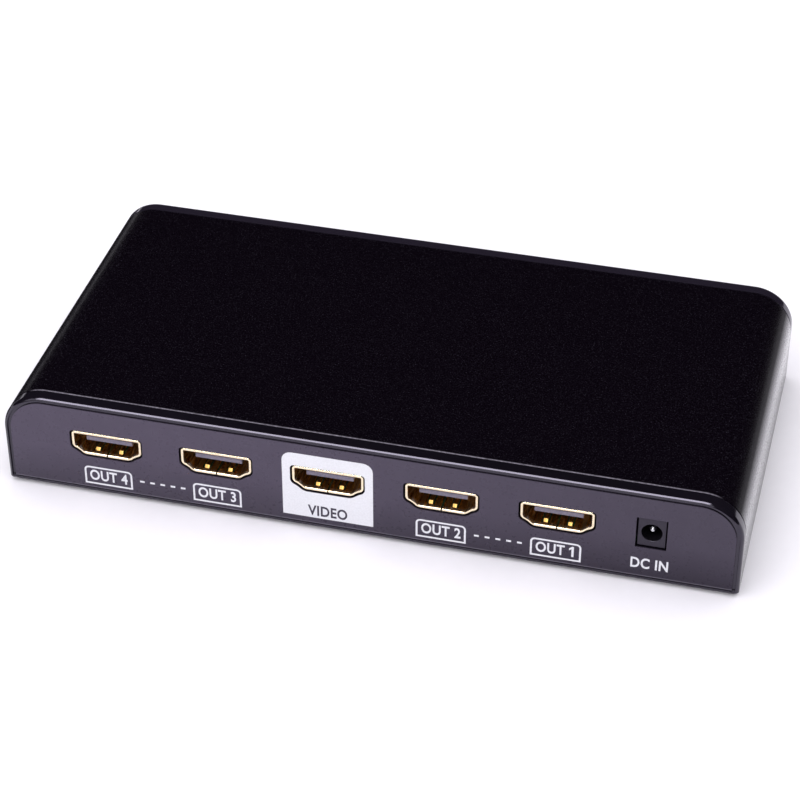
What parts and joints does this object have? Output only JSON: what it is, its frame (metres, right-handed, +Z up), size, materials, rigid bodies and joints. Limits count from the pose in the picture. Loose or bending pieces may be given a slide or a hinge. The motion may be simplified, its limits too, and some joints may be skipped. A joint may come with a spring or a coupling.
{
  "type": "video splitter",
  "caption": "Flat black video splitter box with round long edges, a row of gold-rimmed sockets, a white input plate and a power jack on one side, and indicator lights on the other.",
  "frame": {"origin": "on the table under the middle of the box, in the plane of the feet's undersides", "axes": "+X to the right when facing the sockets, -Y towards the user who faces the sockets, +Z up"},
  "size_m": [0.155, 0.078, 0.023],
  "materials": {
    "cover_coat": "fine-grained black coating, satin",
    "base_coat": "black coating, matt",
    "cap_gloss": "glossy black",
    "label_film": "satin grey film",
    "black_screw": "blackened steel",
    "foot_rubber": "matt",
    "board_green": "solder mask, satin",
    "spacer_brass": "turned",
    "bright_steel": "nickel-plated",
    "gold_plate": "gold-plated sheet",
    "socket_plastic": "moulded, matt",
    "contact_gold": "gold-plated",
    "jack_plastic": "moulded, satin",
    "chip_plastic": "moulded, matt",
    "tinned_lead": "tinned",
    "pad_silicone": "soft pad",
    "sink_aluminium": "extruded",
    "ferrite": "sintered, matt",
    "can_aluminium": "drawn can",
    "resistor_body": "fired body",
    "lamp_resin": "clear resin over a pale body",
    "clear_acrylic": "clear moulding"
  },
  "bodies": {
    "splitter": {"top_cover": "cover_coat", "base_plate": "base_coat", "port_end_cap": "cap_gloss", "indicator_end_cap": "cap_gloss", "port_label": "label_film", "indicator_label": "label_film", "case_screws": "black_screw", "rubber_feet": "foot_rubber", "circuit_board": "board_green", "board_spacers": "spacer_brass", "board_screws": "bright_steel", "output_4_shell": "gold_plate", "output_3_shell": "gold_plate", "input_shell": "gold_plate", "output_2_shell": "gold_plate", "output_1_shell": "gold_plate", "output_4_insulator": "socket_plastic", "output_3_insulator": "socket_plastic", "input_insulator": "socket_plastic", "output_2_insulator": "socket_plastic", "output_1_insulator": "socket_plastic", "output_4_contacts": "contact_gold", "output_3_contacts": "contact_gold", "input_contacts": "contact_gold", "output_2_contacts": "contact_gold", "output_1_contacts": "contact_gold", "jack_housing": "jack_plastic", "jack_centre_pin": "bright_steel", "jack_sleeve_terminal": "bright_steel", "splitter_chip": "chip_plastic", "splitter_chip_leads": "tinned_lead", "thermal_pad": "pad_silicone", "heat_sink": "sink_aluminium", "controller_chip": "chip_plastic", "controller_chip_leads": "tinned_lead", "crystal": "tinned_lead", "voltage_regulators": "chip_plastic", "power_inductor": "ferrite", "capacitors": "can_aluminium", "surge_guards": "chip_plastic", "resistors": "resistor_body", "indicator_lamps": "lamp_resin", "light_pipes": "clear_acrylic"},
    "sleeve_spring": {"jack_sleeve_spring": "bright_steel"}
  },
  "joints": [
    {"name": "sleeve_spring_flex", "type": "hinge", "parent": "splitter", "child": "sleeve_spring", "pos_m": [0.0592, -0.0294, 0.0153], "axis": [-1, 0, 0], "range_deg": [0, 5], "stiffness_Nm_per_rad": 0.08}
  ]
}
